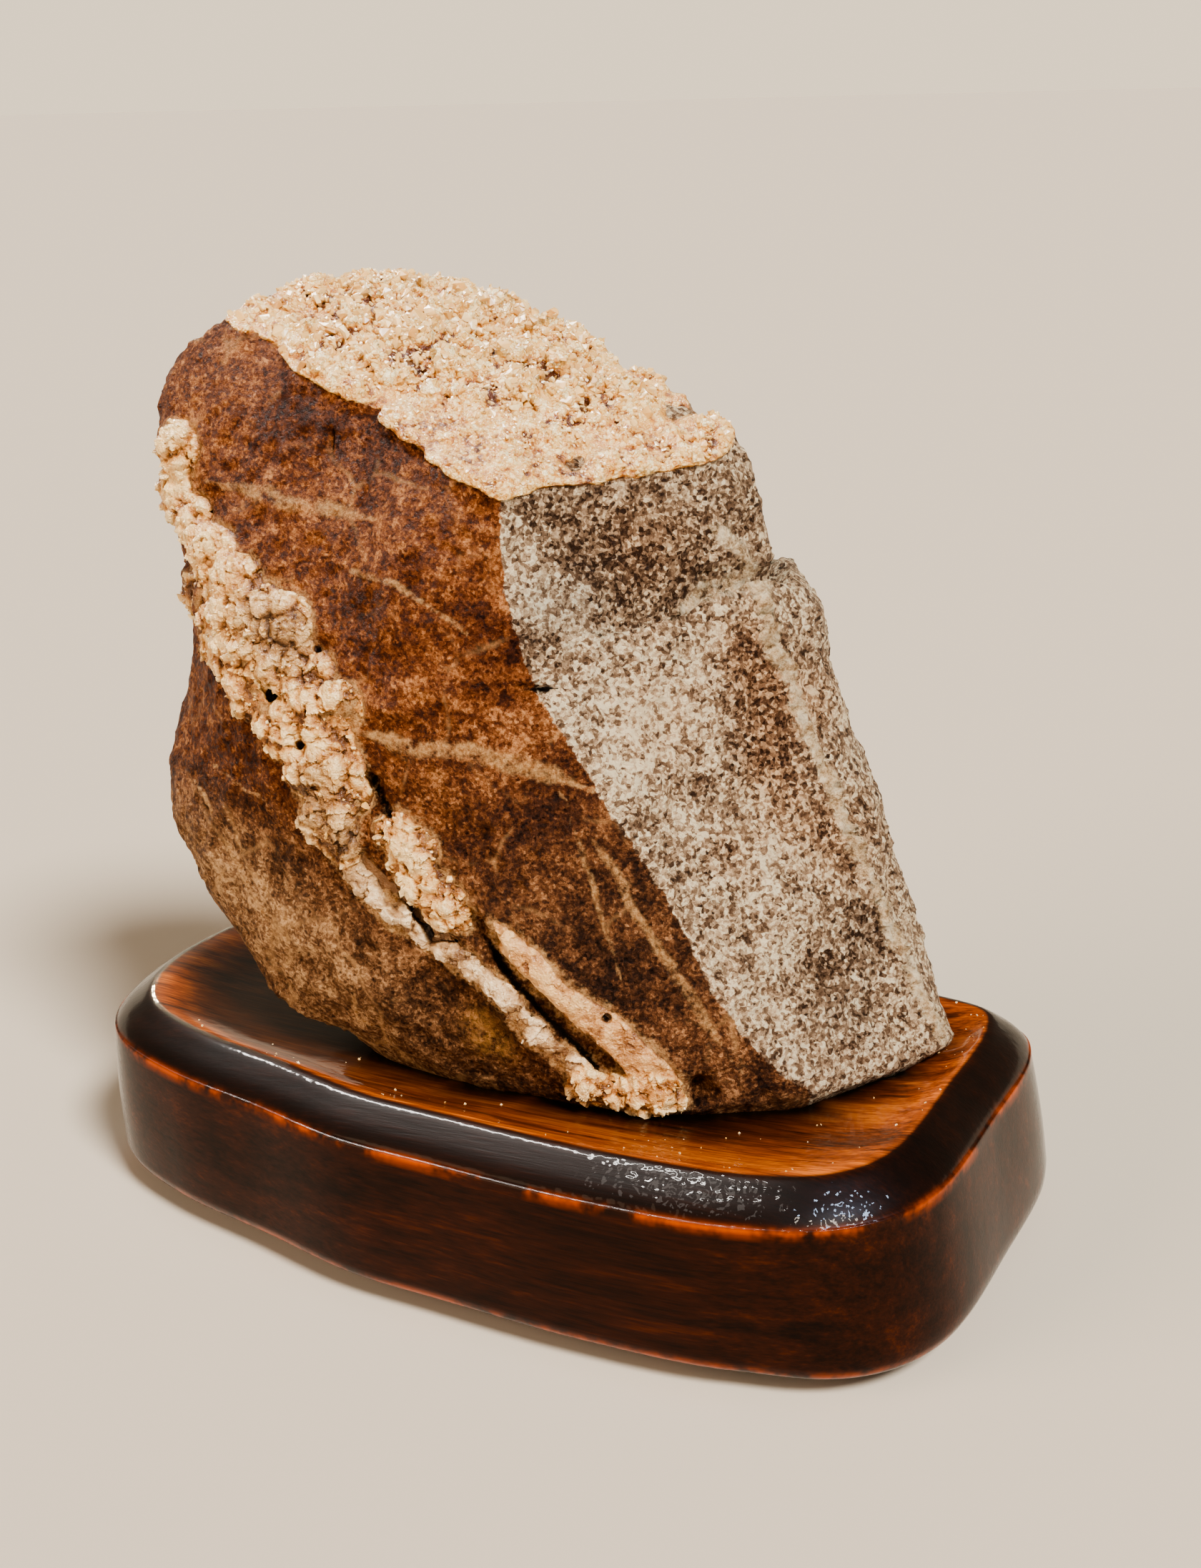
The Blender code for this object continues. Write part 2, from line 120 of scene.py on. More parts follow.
PALE_VEINS = (
    (((-53, 139), (-43, 138), (-35, 136), (-29, 136), (-22, 135)), 1.3),
    (((-32, 127), (-22, 126), (-14, 123), (-9, 120), (-5, 115)), 0.6),
    (((-27, 100), (-19, 98), (-6, 98), (5, 95), (14, 92)), 1.3),
    (((8, 92), (11, 82), (15, 69), (19, 55)), 0.5),
    (((8, 92), (14, 82), (21, 69), (24, 64), (29, 56), (33, 49), (38, 42)), 0.8),
    (((-61, 85), (-58, 81), (-54, 73), (-48, 62), (-45, 57)), 0.6),
    (((-58, 88), (-50, 86), (-43, 83)), 0.4),
    (((-55, 80), (-48, 70), (-41, 60)), 0.35),
    (((-56, 71), (-48, 68), (-40, 65)), 0.35),
    (((-36, 55), (-31, 50), (-30, 43), (-25, 42)), 0.55),
    (((-28, 84), (-20, 82), (-13, 80)), 0.3),
    (((-62, 150), (-63, 140), (-62, 130)), 0.6),
    (((35, 132), (38, 130), (41, 127), (43, 123), (42, 120)), 1.4),
    # This line along the ledge is partly a pale vein and partly a painted highlight on the ledge's upward
    # top.
    (((29, 118), (35, 120), (41, 120), (46, 119)), 1.7),
)

# Rock: how far its lines swing from side to side
PALE_SWING = 0.7
DARK_SWING = 0.5

# Rock: the marks that make up its veins, and how far its sheets of crystals reach past them and inwards
VEIN_KINDS = ("lumps", "strip", "slab")
CRUST_MARGIN = 2.5
VEIN_MARGIN = 0.55
CRUST_OVERLAP = 0.2
SHEET_DEPTH = 0.6
CRYSTAL_SHARP_ANGLE = math.radians(32)

# Rock: spots that are lighter or darker, warmer, cooler, ochre or dull, with a radius and an amount
TONES = (
    (-36, 151, 8, -0.6), (-23, 144, 9, -0.7), (-10, 134, 7, -0.5), (4, 115, 8, -0.6),
    (-2, 118, 7, -0.4), (-24, 116, 8, -0.6), (-9, 104, 7, -0.4), (-20, 94, 7, -0.4),
    (5, 87, 8, -0.5), (-5, 82, 8, -0.4), (-54, 106, 6, -0.5), (-50, 90, 7, -0.5),
    (-46, 76, 7, -0.3), (-18, 48, 9, -0.4), (10, 66, 8, -0.3), (20, 60, 7, -0.4),
    (-53, 152, 7, 0.5), (-52, 143, 6, 0.4), (-36, 136, 6, 0.6), (-17, 134, 6, 0.5),
    (-4, 132, 6, 0.5), (3, 129, 5, 0.5), (-15, 110, 7, 0.7), (-22, 105, 5, 0.5),
    (2, 99, 5, 0.5), (-8, 91, 6, 0.4), (-21, 60, 6, 0.4), (-57, 66, 7, 0.6),
    (-46, 58, 7, 0.6), (-34, 62, 6, 0.3), (-41, 47, 6, 0.4), (10, 75, 5, 0.3),
    (18, 112, 5, 0.4), (24, 102, 7, 0.9), (18, 95, 5, 0.6), (9, 106, 5, 0.5),
    (34, 113, 4, 0.4), (41, 76, 6, 0.6), (30, 82, 6, 0.5), (22, 90, 4, 0.4),
    (31, 70, 6, 0.4), (45, 68, 6, 0.5), (37, 58, 6, 0.4), (45, 61, 5, 0.4),
    (33, 43, 7, 0.3), (46, 32, 7, 0.4), (56, 50, 5, 0.4), (5, 121, 5, 0.8), (13, 121, 5, 0.8),
    (40, 111, 5, -0.8), (43, 103, 5, -0.8), (45, 95, 5, -0.9), (38, 92, 4, -0.8),
    (36, 79, 4, -0.6), (60, 61, 6, -0.9), (53, 54, 6, -0.8), (39, 65, 4, -0.4),
    (29, 64, 3, -0.5), (19, 85, 3, -0.4), (52, 47, 4, -0.4), (62, 48, 4, -0.6),
    # The next four darken the upper grey facet: painted shade.
    (18, 129, 8, -0.4), (10, 135, 8, -0.4), (27, 126, 7, -0.4), (34, 124, 5, -0.4),
    (57, 72, 4, -0.5),
)
WARM_SPOTS = (
    (40, 111, 6, 0.8), (44, 102, 7, 1.0), (44, 92, 6, 1.0), (57, 76, 8, 0.7), (48, 82, 7, 0.6),
    (23, 130, 8, 0.6), (25, 100, 8, 0.4), (52, 100, 7, 0.6), (36, 79, 5, 0.4),
)
COOL_SPOTS = ((6, 121, 6, 0.8), (13, 122, 6, 0.9), (57, 48, 7, 0.7), (40, 40, 9, 0.5), (62, 60, 6, 0.6))
OCHRE_SPOTS = ((-6, 47, 4, 1.0), (-8, 44, 3, 0.7), (-3, 43, 3, 0.5))
DULL_CRYSTALS = (
    (-36, 86, 5, 1.0), (-29, 80, 5, 1.0), (-44, 118, 5, 0.8), (-38, 114, 6, 0.9), (-33, 92, 4, 0.5),
)

# Crystals set into the crust and the veins, crumbs on the stand, and how far light sinks into them
CRYSTAL_SHAPES = 14
CRYSTAL_CORNERS = 12
CRUST_CRYSTALS = 4200
VEIN_CRYSTALS = 420
CRUMBS = 70
CRYSTAL_SEED = 7
CRUMB_SEED = 11
LIGHT_REACH = (1.0, 0.7, 0.45)

# Mixing steps that turn a cell of space into random numbers
CELL_STEPS = (73856093, 19349663, 83492791)
SCRAMBLE = np.uint64(0xFF51AFD7ED558CCD)

# Stand: its outline at the top of the wall, seen from above
STAND_OUTLINE = (
    (-15, -45), (5, -47), (32, -49), (58, -48), (76, -41), (86, -25), (88, 5),
    (88, 30), (82, 43), (66, 48), (35, 51), (0, 53), (-38, 54), (-68, 48),
    (-84, 33), (-89, 10), (-86, -10), (-76, -24), (-58, -33), (-36, -39),
)
OUTLINE_POINTS = 440
FINE_STEPS = 40

# Stand: how far in from the outline and how high, under the foot and from its edge to the crest
FOOT_PROFILE = ((9.0, 0.0), (9.0, 4.0), (4.6, 4.0))
WALL_PROFILE = (
    (3.6, 4.0), (1.6, 4.7), (0.4, 6.4), (0.0, 9.0), (-0.3, 18.0), (0.0, 30.0), (0.7, 31.8),
    (2.4, 33.6), (4.9, 35.4), (7.0, 36.7), (8.3, 37.0),
)
WALL_FOOT = 9.0
WALL_TOP = 30.0
WALL_STEPS = 60
END_FLARE = 3.5
FLARE_FROM = 60.0
FLARE_TO = 88.0

# Stand: the dish, as the share of the way from the crest to the seat, and the height
DISH_PROFILE = (
    (0.0, 37.0), (0.06, 36.8), (0.16, 36.1), (0.32, 35.1), (0.6, 34.2), (0.85, 33.7), (1.0, 33.4),
)
DISH_STEPS = 30
SEAT_CENTRE = (20.0, 5.0)
SEAT_FLOOR = 30.9
SEAT_GAP = 0.9
SEAT_BINS = 72
CARVING_DEPTH = 0.12
# Heights of the painted orange highlight lines: along the top of the wall and near its foot.
TOP_HIGHLIGHT = 31.1
LOW_HIGHLIGHT = 5.4
WOOD_SHARP_ANGLE = math.radians(35)


def srgb(colour):
    """A colour of the screen, 0 to 255, as the shaders take it."""
    share = np.array(colour, float) / 255
    linear = np.where(share <= 0.04045, share / 12.92, ((share + 0.055) / 1.055) ** 2.4)
    return tuple(linear) + (1.0,)


def linked(name, mesh):
    obj = bpy.data.objects.new(name, mesh)
    bpy.context.scene.collection.objects.link(obj)
    return obj


def settled(obj):
    """Carries out the object's modifiers on its mesh."""
    graph = bpy.context.evaluated_depsgraph_get()
    mesh = bpy.data.meshes.new_from_object(obj.evaluated_get(graph))
    obj.modifiers.clear()
    obj.data = mesh


def ramp(value, low, high):
    """0 below low, 1 above high, smooth between."""
    t = np.clip((value - low) / (high - low), 0, 1)
    return t * t * (3 - 2 * t)


def cell_chances(cells, seed):
    """Three random numbers from 0 to 1 for each whole-numbered cell of space."""
    numbers = []
    for turn in range(3):
        key = (cells @ np.array(CELL_STEPS) + 1013 * seed + 71 * turn).astype(np.uint64)
        for _ in range(2):
            key = (key ^ (key >> np.uint64(33))) * SCRAMBLE
        numbers.append((key >> np.uint64(40)) / 2.0**24)
    return np.stack(numbers, axis=-1)


def cloud(points, size, seed):
    """Smooth noise from about -1 to 1, with humps of this size."""
    place = points / size
    base = np.floor(place).astype(np.int64)
    part = place - base
    soft = part**3 * (part * (6 * part - 15) + 10)
    total = np.zeros(len(points))
    for corner in product((0, 1), repeat=3):
        weight = np.prod(np.where(corner, soft, 1 - soft), axis=1)
        slope = 2 * cell_chances(base + corner, seed) - 1
        total += weight * (slope * (part - corner)).sum(axis=1)
    return 1.7 * total


def nearest_seed(points, size, seed):
    """The way to each point from the nearest of many scattered seeds, and that seed's three numbers."""
    place = points / size
    base = np.floor(place).astype(np.int64)
    far = np.full(len(points), 9.0)
    way = np.zeros((len(points), 3))
    numbers = np.zeros((len(points), 3))
    for shift in product((-1, 0, 1), repeat=3):
        chances = cell_chances(base + shift, seed)
        gap = place - base - shift - chances
        reach = (gap**2).sum(axis=1)
        closer = reach < far
        far[closer] = reach[closer]
        way[closer] = gap[closer]
        numbers[closer] = chances[closer]
    return way, numbers


def domes(points, size, seed):
    """Round lumps packed side by side: 1 at the middle of each, 0 between them."""
    way, _ = nearest_seed(points, size, seed)
    return np.sqrt(np.clip(1 - (way**2).sum(axis=1) / 0.45, 0, 1))


def facets(points, size, seed):
    """Packed crystals with tilted flat faces, from about -1 to 1."""
    way, numbers = nearest_seed(points, size, seed)
    return numbers[:, 0] - 0.5 + 1.5 * (way * (2 * numbers - 1)).sum(axis=1)


class Surface:
    """A mesh's points and normals, with the places of marks on them."""

    def __init__(self, mesh):
        self.mesh = mesh
        self.points = self.read(mesh.vertices, "co") / MM
        self.normals = self.read(mesh.vertex_normals, "vector")
        right = self.points[:, 0] * math.cos(SIGHT) + self.points[:, 1] * math.sin(SIGHT)
        self.seen = np.stack([right, self.points[:, 2]], axis=1)
        sight = np.array([math.sin(SIGHT), -math.cos(SIGHT), 0.0])
        self.show_side = self.normals @ sight > 0.05
        self.swing = np.stack([cloud(self.points, 6.0, seed) for seed in (61, 62, 63)], axis=1)

    def read(self, items, name):
        values = np.empty(len(items) * 3)
        items.foreach_get(name, values)
        return values.reshape(-1, 3)

    def mark(self, name):
        """One of the mesh's marks, point by point."""
        values = np.empty(len(self.points), np.float32)
        self.mesh.attributes[name].data.foreach_get("value", values)
        return values.astype(float)

    def shift(self, out):
        """Moves every point this far out along its normal."""
        points = self.points + out[:, None] * self.normals
        self.mesh.vertices.foreach_set("co", (points * MM).ravel())
        self.mesh.update()

    def lift(self, places):
        """The points of the mesh nearest to these places of the sight plane."""
        pick = np.flatnonzero(self.show_side)
        seen = self.seen[pick]
        return np.array([
            self.points[pick[np.argmin(((seen - place) ** 2).sum(axis=1))]] for place in places
        ])

    def gap_to_line(self, places, width=None, waver=0.0):
        """How far every point is from a line drawn through these places.

        With a width, the gap is counted in half-widths of a line that thins towards its ends.
        With a waver, the line swings from side to side by up to this much.
        """
        line = self.lift(places)
        points = self.points + waver * self.swing
        nearest = np.full(len(self.points), 1e9)
        for k, (start, end) in enumerate(zip(line[:-1], line[1:])):
            run = end - start
            share = np.clip(((points - start) @ run) / (run @ run), 0, 1)
            gap = np.linalg.norm(points - start - share[:, None] * run, axis=1)
            if width is not None:
                along = (k + share) / (len(line) - 1)
                gap = gap / (width * np.clip(5 * np.minimum(along, 1 - along), 0.3, 1))
            nearest = np.minimum(nearest, gap)
        return nearest

    def spots(self, spots):
        """The sum of soft spots, each with its place, its radius and its amount."""
        total = np.zeros(len(self.points))
        centres = self.lift([spot[:2] for spot in spots])
        for centre, (_, _, radius, amount) in zip(centres, spots):
            gap = np.linalg.norm(self.points - centre, axis=1) / radius
            total += amount * np.exp(-gap * gap)
        return total

    def depth_in_balls(self, balls):
        """How deep every point lies inside the nearest ball, each with its place and radius."""
        depth = np.full(len(self.points), -9.0)
        centres = self.lift([ball[:2] for ball in balls])
        for centre, (_, _, radius) in zip(centres, balls):
            depth = np.maximum(depth, radius - np.linalg.norm(self.points - centre, axis=1))
        return depth

    def depth_in_plate(self, corners):
        """How deep every point lies inside a flat shape drawn by its corners."""
        corners = np.array(corners, float)
        x, z = self.seen.T
        inside = np.zeros(len(x), bool)
        nearest = np.full(len(x), 1e9)
        for (ax, az), (bx, bz) in zip(corners, np.roll(corners, -1, axis=0)):
            crosses = (az > z) != (bz > z)
            rise = bz - az if bz != az else 1e-9
            inside ^= crosses & (x < (bx - ax) * (z - az) / rise + ax)
            run = np.array([bx - ax, bz - az])
            share = np.clip(((x - ax) * run[0] + (z - az) * run[1]) / (run @ run), 0, 1)
            nearest = np.minimum(nearest, np.hypot(x - ax - share * run[0], z - az - share * run[1]))
        return np.where(inside & self.show_side, nearest, -nearest)


def rock_mesh():
    """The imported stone's form with an even fine mesh."""
    rock = linked("rock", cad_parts["stone"].data.copy())
    remesh = rock.modifiers.new("Even mesh", "REMESH")
    remesh.mode = "VOXEL"
    remesh.voxel_size = ROCK_VOXEL * MM
    smooth = rock.modifiers.new("Soft facets", "SMOOTH")
    smooth.factor = 0.5
    smooth.iterations = 2
    settled(rock)
    return rock


def grey_side(surface):
    """How far each point lies on the grey side, in millimetres; less than 0 on the brown side."""
    points = surface.points
    right, height = surface.seen.T
    ridge = np.array(FRONT_RIDGE, float)
    past = right - np.interp(height, ridge[:, 1], ridge[:, 0])
    facing = surface.normals @ (np.array(GREY_FACING) - np.array(BROWN_FACING))
    front = np.clip(past + 5 * facing, -8, 8)
    back = 8 * np.clip(cloud(points, 30.0, 52) + 0.4 * cloud(points, 9.0, 53) + points[:, 0] / 40, -1, 1)
    back -= 8 * ramp(-points[:, 0], 40.0, 60.0)
    turned = ramp(surface.normals[:, 1] - 0.6 * surface.normals[:, 0], 0.0, 0.5)
    return front * (1 - turned) + back * turned + 0.8 * cloud(points, 3.0, 51)


def marks(surface):
    """The rock's marks, point by point: depths inside them, gaps from their lines, and soft shares."""
    points = surface.points
    right, height = surface.seen.T
    level = (points - CROWN_POINT) @ np.array(CROWN_NORMAL)
    ragged = 0.7 * cloud(points, 4.5, 31) + 0.5 * cloud(points, 1.9, 32)
    made = {
        "crust": np.clip(level + CRUST_REACH + 0.5 * ragged, -9, 9),
        "lumps": surface.depth_in_balls(VEIN_LUMPS) + 0.7 + 0.5 * ragged,
        "strip": 2.9 - surface.gap_to_line(STRIP_VEIN) + 1.6 * ragged,
        "seam": surface.gap_to_line(SEAM_VEIN) - 1.4 - 1.2 * ragged,
        "slab": surface.depth_in_plate(SLAB_VEIN) + 0.4 * ragged,
        "side": grey_side(surface),
        "pale": np.full(len(points), 9.0),
        "dark": np.full(len(points), 9.0),
        "tone": np.clip(surface.spots(TONES), -1, 1) * 0.5 + 0.5,
        "warm": np.clip(surface.spots(WARM_SPOTS), 0, 1),
        "cool": np.clip(surface.spots(COOL_SPOTS), 0, 1),
        "ochre": np.clip(surface.spots(OCHRE_SPOTS), 0, 1),
        "dull": np.clip(surface.spots(DULL_CRYSTALS), 0, 1),
        "beige": ramp(-right - 0.8 * (height - 60), 12.0, 44.0) * ramp(-height, -92.0, -70.0),
        "rust": ramp(height - 0.5 * right, 60.0, 120.0),
        "back": ramp(points[:, 1] - 0.35 * points[:, 0], -18.0, 12.0),
    }
    for line, width in PALE_VEINS:
        made["pale"] = np.minimum(made["pale"], surface.gap_to_line(line, width, PALE_SWING))
    for line, width in SHADED_LINES:
        made["dark"] = np.minimum(made["dark"], surface.gap_to_line(line, width, DARK_SWING))
    made["dark"] = np.minimum(made["dark"], 1.0 - surface.depth_in_balls(PITS))
    above = above_ledge(surface)
    # The upper grey facet above the ledge is made darker in tone: painted shade.
    facet = ramp(above, -0.3, 1.0) * ramp(-above, -26.0, -12.0) * ramp(made["side"], -1.0, 1.0)
    made["tone"] -= 0.30 * facet * ramp(right + 0.5 * above, 8.0, 16.0)
    made["veins"] = np.max([made[name] for name in VEIN_KINDS], axis=0)
    return made


def above_ledge(surface):
    """How far each point lies above the ledge of the grey side."""
    right, height = surface.seen.T
    line = np.array(LEDGE, float)
    return height - np.interp(right, line[:, 0], line[:, 1])


def rock_relief(surface, made):
    """How far each point of the bare rock stands out."""
    points = surface.points
    right, height = surface.seen.T
    grey = ramp(made["side"], -1.0, 1.0)
    pit = ramp(cloud(points, 2.8, 47), 0.25, 0.6)
    out = 0.45 * cloud(points, 8.0, 45) + 0.30 * cloud(points, 3.2, 46) + 0.22 * facets(points, 2.1, 44)
    out += grey * (0.5 * cloud(points, 12.0, 48) + 0.3 * facets(points, 4.2, 49)) - 0.35 * pit
    out += 0.9 * (made["tone"] - 0.5)
    above = above_ledge(surface)
    reach = ramp(right, 0.0, 35.0) * grey
    out += reach * np.where(above < 0, 2.6 * np.exp(above / 12.0), -1.9 * np.exp(-above / 10.0))
    out += 0.15 * ramp(-made["pale"], -1.3, -0.3)
    crumbly = 0.5 + 1.3 * facets(points, 2.8, 43) + 0.5 * facets(points, 1.5, 42)
    out += ramp(-made["seam"], -0.5, 0.6) * crumbly
    out -= 0.9 * ramp(-made["dark"], -1.2, -0.3)
    covered = ramp(made["crust"], -0.4, 1.0)
    out = out * (1 - covered) - 1.3 * covered - 0.7 * ramp(made["veins"], -0.3, 0.8)
    return out * ramp(height, 33.0, 37.0)


def crust_relief(surface):
    """How far each point of the crust's sheet stands out, tucked in round its edge."""
    points = surface.points
    crust = surface.mark("crust")
    back = surface.mark("back")
    rough = np.maximum(back, 0.7 * ramp(surface.seen[:, 0], -4.0, 10.0))
    out = rough * (2.0 * (domes(points, 5.6, 81) - 0.45) + 1.0 * facets(points, 3.4, 82))
    out += (0.3 + 0.5 * rough) * (domes(points, 2.5, 83) - 0.4) + 0.25 * facets(points, 1.7, 85)
    out += 0.45 * (domes(points, 1.15, 84) - 0.4)
    return out * ramp(crust, -0.5, 3.0) + 0.1 - 2.2 * ramp(-crust, -0.2, 0.9)


def vein_relief(surface):
    """How far each point of the veins' sheet stands out, tucked in round its edge."""
    points = surface.points
    fine = facets(points, 1.1, 97)
    reliefs = {
        "lumps": 1.1 * (domes(points, 4.4, 91) - 0.3) + 0.5 * facets(points, 2.2, 92) + 0.2 * fine,
        "strip": 0.5 * facets(points, 3.0, 93) + 0.8 * (domes(points, 4.2, 94) - 0.6) + 0.16 * fine,
        "slab": 0.25 * cloud(points, 5.0, 95) + 0.25 * facets(points, 2.6, 96) + 0.1 * fine,
    }
    out = np.full(len(points), -2.0)
    for name in VEIN_KINDS:
        inside = ramp(surface.mark(name), -0.6, 0.8)
        out = np.maximum(out, inside * (reliefs[name] + 1.6) - 1.6)
    return out - 1.3 * ramp(-surface.mark("dark"), -1.2, -0.4)


def add_marks(mesh, made):
    """Keeps these numbers with the mesh, point by point, for its paint."""
    for name, share in made.items():
        layer = mesh.attributes.new(name, "FLOAT", "POINT")
        layer.data.foreach_set("value", share.astype(np.float32))


def sheet_of(rock, wanted, name, finer):
    """A piece cut from the rock's mesh where it is wanted, with its faces split this many times."""
    sheet = linked(name, rock.data.copy())
    form = bmesh.new()
    form.from_mesh(sheet.data)
    outside = [vert for vert, inside in zip(form.verts, wanted) if not inside]
    bmesh.ops.delete(form, geom=outside, context="VERTS")
    form.to_mesh(sheet.data)
    form.free()
    split = sheet.modifiers.new("Finer faces", "SUBSURF")
    split.levels = finer
    split.render_levels = finer
    settled(sheet)
    return sheet


def close_below(sheet, depth):
    """Gives an open sheet an underside this deep inside the rock."""
    form = bmesh.new()
    form.from_mesh(sheet.data)
    form.normal_update()
    rim = [edge for edge in form.edges if edge.is_boundary]
    grown = bmesh.ops.extrude_edge_only(form, edges=rim)["geom"]
    for part in grown:
        if isinstance(part, bmesh.types.BMVert):
            inward = sum((edge.other_vert(part).normal for edge in part.link_edges), Vector())
            part.co -= depth * MM * inward.normalized()
    rim = [edge for edge in form.edges if edge.is_boundary]
    bmesh.ops.holes_fill(form, edges=rim, sides=0)
    form.to_mesh(sheet.data)
    form.free()


def finish_sheet(sheet, relief, paint):
    """Gives a sheet of crystals its relief, its underside and its place on the stone."""
    surface = Surface(sheet.data)
    out = relief(surface)
    surface.shift(out)
    add_marks(sheet.data, {"height": out})
    close_below(sheet, SHEET_DEPTH)
    sheet.data.shade_smooth()
    sheet.data.set_sharp_from_angle(angle=CRYSTAL_SHARP_ANGLE)
    sheet.data.materials.clear()
    sheet.data.materials.append(paint)
    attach(sheet, "root")
    return Surface(sheet.data)


class Paint:
    """One material and the nodes that make its finish. Sizes are in millimetres."""

    def __init__(self, name):
        self.material = bpy.data.materials.new(name)
        self.material.use_nodes = True
        self.tree = self.material.node_tree
        self.place = self.add("ShaderNodeTexCoord", {}).outputs["Object"]

    def feed(self, node, inputs):
        """Sets the node's inputs by name; one that gets another node's output is linked to it."""
        for name, value in inputs.items():
            if isinstance(value, bpy.types.NodeSocket):
                self.tree.links.new(value, node.inputs[name])
            else:
                node.inputs[name].default_value = value

    def finish(self, inputs):
        """Sets the shader's own inputs and hands over the material."""
        self.feed(self.tree.nodes["Principled BSDF"], inputs)
        return self.material

    def add(self, kind, inputs, **settings):
        node = self.tree.nodes.new(kind)
        for name, value in settings.items():
            setattr(node, name, value)
        self.feed(node, inputs)
        return node

    def mask(self, name):
        """One of the mesh's marks."""
        return self.add("ShaderNodeAttribute", {}, attribute_name=name).outputs["Fac"]

    def stretched(self, *scale):
        """The place scaled along the axes, so that a texture on it runs lengthwise."""
        return self.add("ShaderNodeMapping", {"Vector": self.place, "Scale": scale}).outputs["Vector"]

    def texture(self, kind, size, place=None, **settings):
        """The node of a texture with humps or grains of this size."""
        return self.add(kind, {"Vector": place or self.place, "Scale": 1 / (size * MM)}, **settings)

    def noise(self, size, detail, rough=0.5, swirl=0.0, place=None):
        node = self.texture("ShaderNodeTexNoise", size, place)
        self.feed(node, {"Detail": detail, "Roughness": rough, "Distortion": swirl})
        return node.outputs["Fac"]

    def warped(self, size, amount):
        """The place pushed about by noise of this size, by up to this amount."""
        push = self.texture("ShaderNodeTexNoise", size).outputs["Color"]
        inputs = {0: push, 1: (amount * MM,) * 3, 2: self.place}
        return self.add("ShaderNodeVectorMath", inputs, operation="MULTIPLY_ADD").outputs["Vector"]

    def flecks(self, size, place=None):
        """A random value from 0 to 1 for each of many small grains."""
        cells = self.texture("ShaderNodeTexVoronoi", size, place)
        return self.add("ShaderNodeSeparateColor", {"Color": cells.outputs["Color"]}).outputs[0]

    def web(self, size, place):
        """The distance from thin joining lines, in shares of this size."""
        lines = self.texture("ShaderNodeTexVoronoi", size, place, feature="DISTANCE_TO_EDGE")
        return lines.outputs["Distance"]

    def maths(self, operation, first, second):
        return self.add("ShaderNodeMath", {0: first, 1: second}, operation=operation).outputs[0]

    def times(self, first, second):
        return self.maths("MULTIPLY", first, second)

    def total(self, *shares, less=0.0):
        """The sum of values, each given with its weight, less this much."""
        result = None
        for value, weight in shares:
            part = self.times(value, weight)
            result = part if result is None else self.maths("ADD", result, part)
        return self.maths("SUBTRACT", result, less) if less else result

    def span(self, value, low, high):
        """0 below low, 1 above high, smooth between."""
        inputs = {"Value": value, "From Min": low, "From Max": high}
        return self.add("ShaderNodeMapRange", inputs, interpolation_type="SMOOTHSTEP").outputs["Result"]

    def fall(self, value, low, high):
        """1 below low, 0 above high, smooth between."""
        return self.maths("SUBTRACT", 1.0, self.span(value, low, high))

    def colours(self, value, *stops):
        """A run of colours along a value, each given with its place from 0 to 1."""
        node = self.add("ShaderNodeValToRGB", {"Fac": value})
        run = node.color_ramp.elements
        while len(run) < len(stops):
            run.new(0.5)
        for element, (place, colour) in zip(run, stops):
            element.position = place
            element.color = srgb(colour)
        return node.outputs["Color"]

    def mix(self, share, first, second, blend="MIX"):
        """The first colour with this share of the second laid over it."""
        if isinstance(second, tuple):
            second = srgb(second)
        inputs = {0: share, 6: first, 7: second}
        return self.add("ShaderNodeMix", inputs, data_type="RGBA", blend_type=blend).outputs[2]

    def bump(self, height, depth):
        """Fine relief of this depth where the height runs from 0 to 1."""
        return self.add("ShaderNodeBump", {"Height": height, "Distance": depth * MM}).outputs["Normal"]


